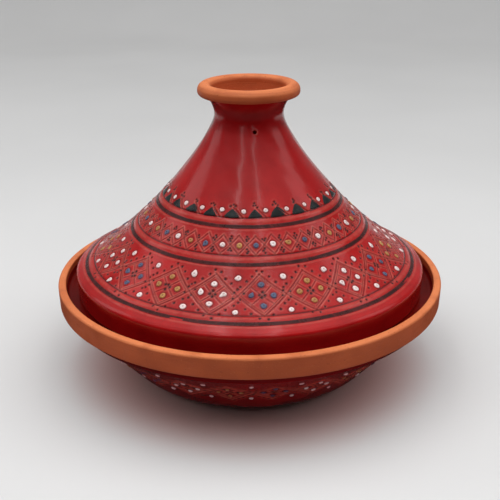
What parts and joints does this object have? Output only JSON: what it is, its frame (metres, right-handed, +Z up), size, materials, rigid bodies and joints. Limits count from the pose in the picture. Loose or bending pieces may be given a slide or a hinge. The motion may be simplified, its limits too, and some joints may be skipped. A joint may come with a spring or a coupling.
{
  "type": "tagine pot",
  "caption": "Glazed earthenware tagine: a shallow round dish with a bare clay rim and a tall flared lid that lifts off, with engraved bands and raised enamel dots.",
  "frame": {"origin": "centre of the foot, on the surface that the dish stands on", "axes": "+Z up along the axis of the dish and the lid; the front, where the steam vent is, faces -Y"},
  "size_m": [0.27, 0.27, 0.2044],
  "materials": {
    "bare_clay": "matte fired terracotta",
    "red_glaze": "glossy red glaze",
    "white_enamel": "raised glossy enamel",
    "yellow_enamel": "raised glossy enamel",
    "blue_enamel": "raised glossy enamel",
    "black_paint": "fired black paint under a satin glaze"
  },
  "bodies": {
    "dish": {"dish_body": "bare_clay", "dish_outer_glaze": "red_glaze", "dish_inner_glaze": "red_glaze", "dish_white_dots": "white_enamel", "dish_yellow_dots": "yellow_enamel", "dish_blue_dots": "blue_enamel"},
    "lid": {"lid_body": "bare_clay", "lid_outer_glaze": "red_glaze", "lid_inner_glaze": "red_glaze", "lid_black_bands": "black_paint", "lid_black_triangles": "black_paint", "lid_white_dots": "white_enamel", "lid_yellow_dots": "yellow_enamel", "lid_blue_dots": "blue_enamel"}
  },
  "joints": [
    {"name": "lid_lift", "type": "slide", "parent": "dish", "child": "lid", "axis": [0, 0, 1], "range_m": [0, 0.22]}
  ]
}
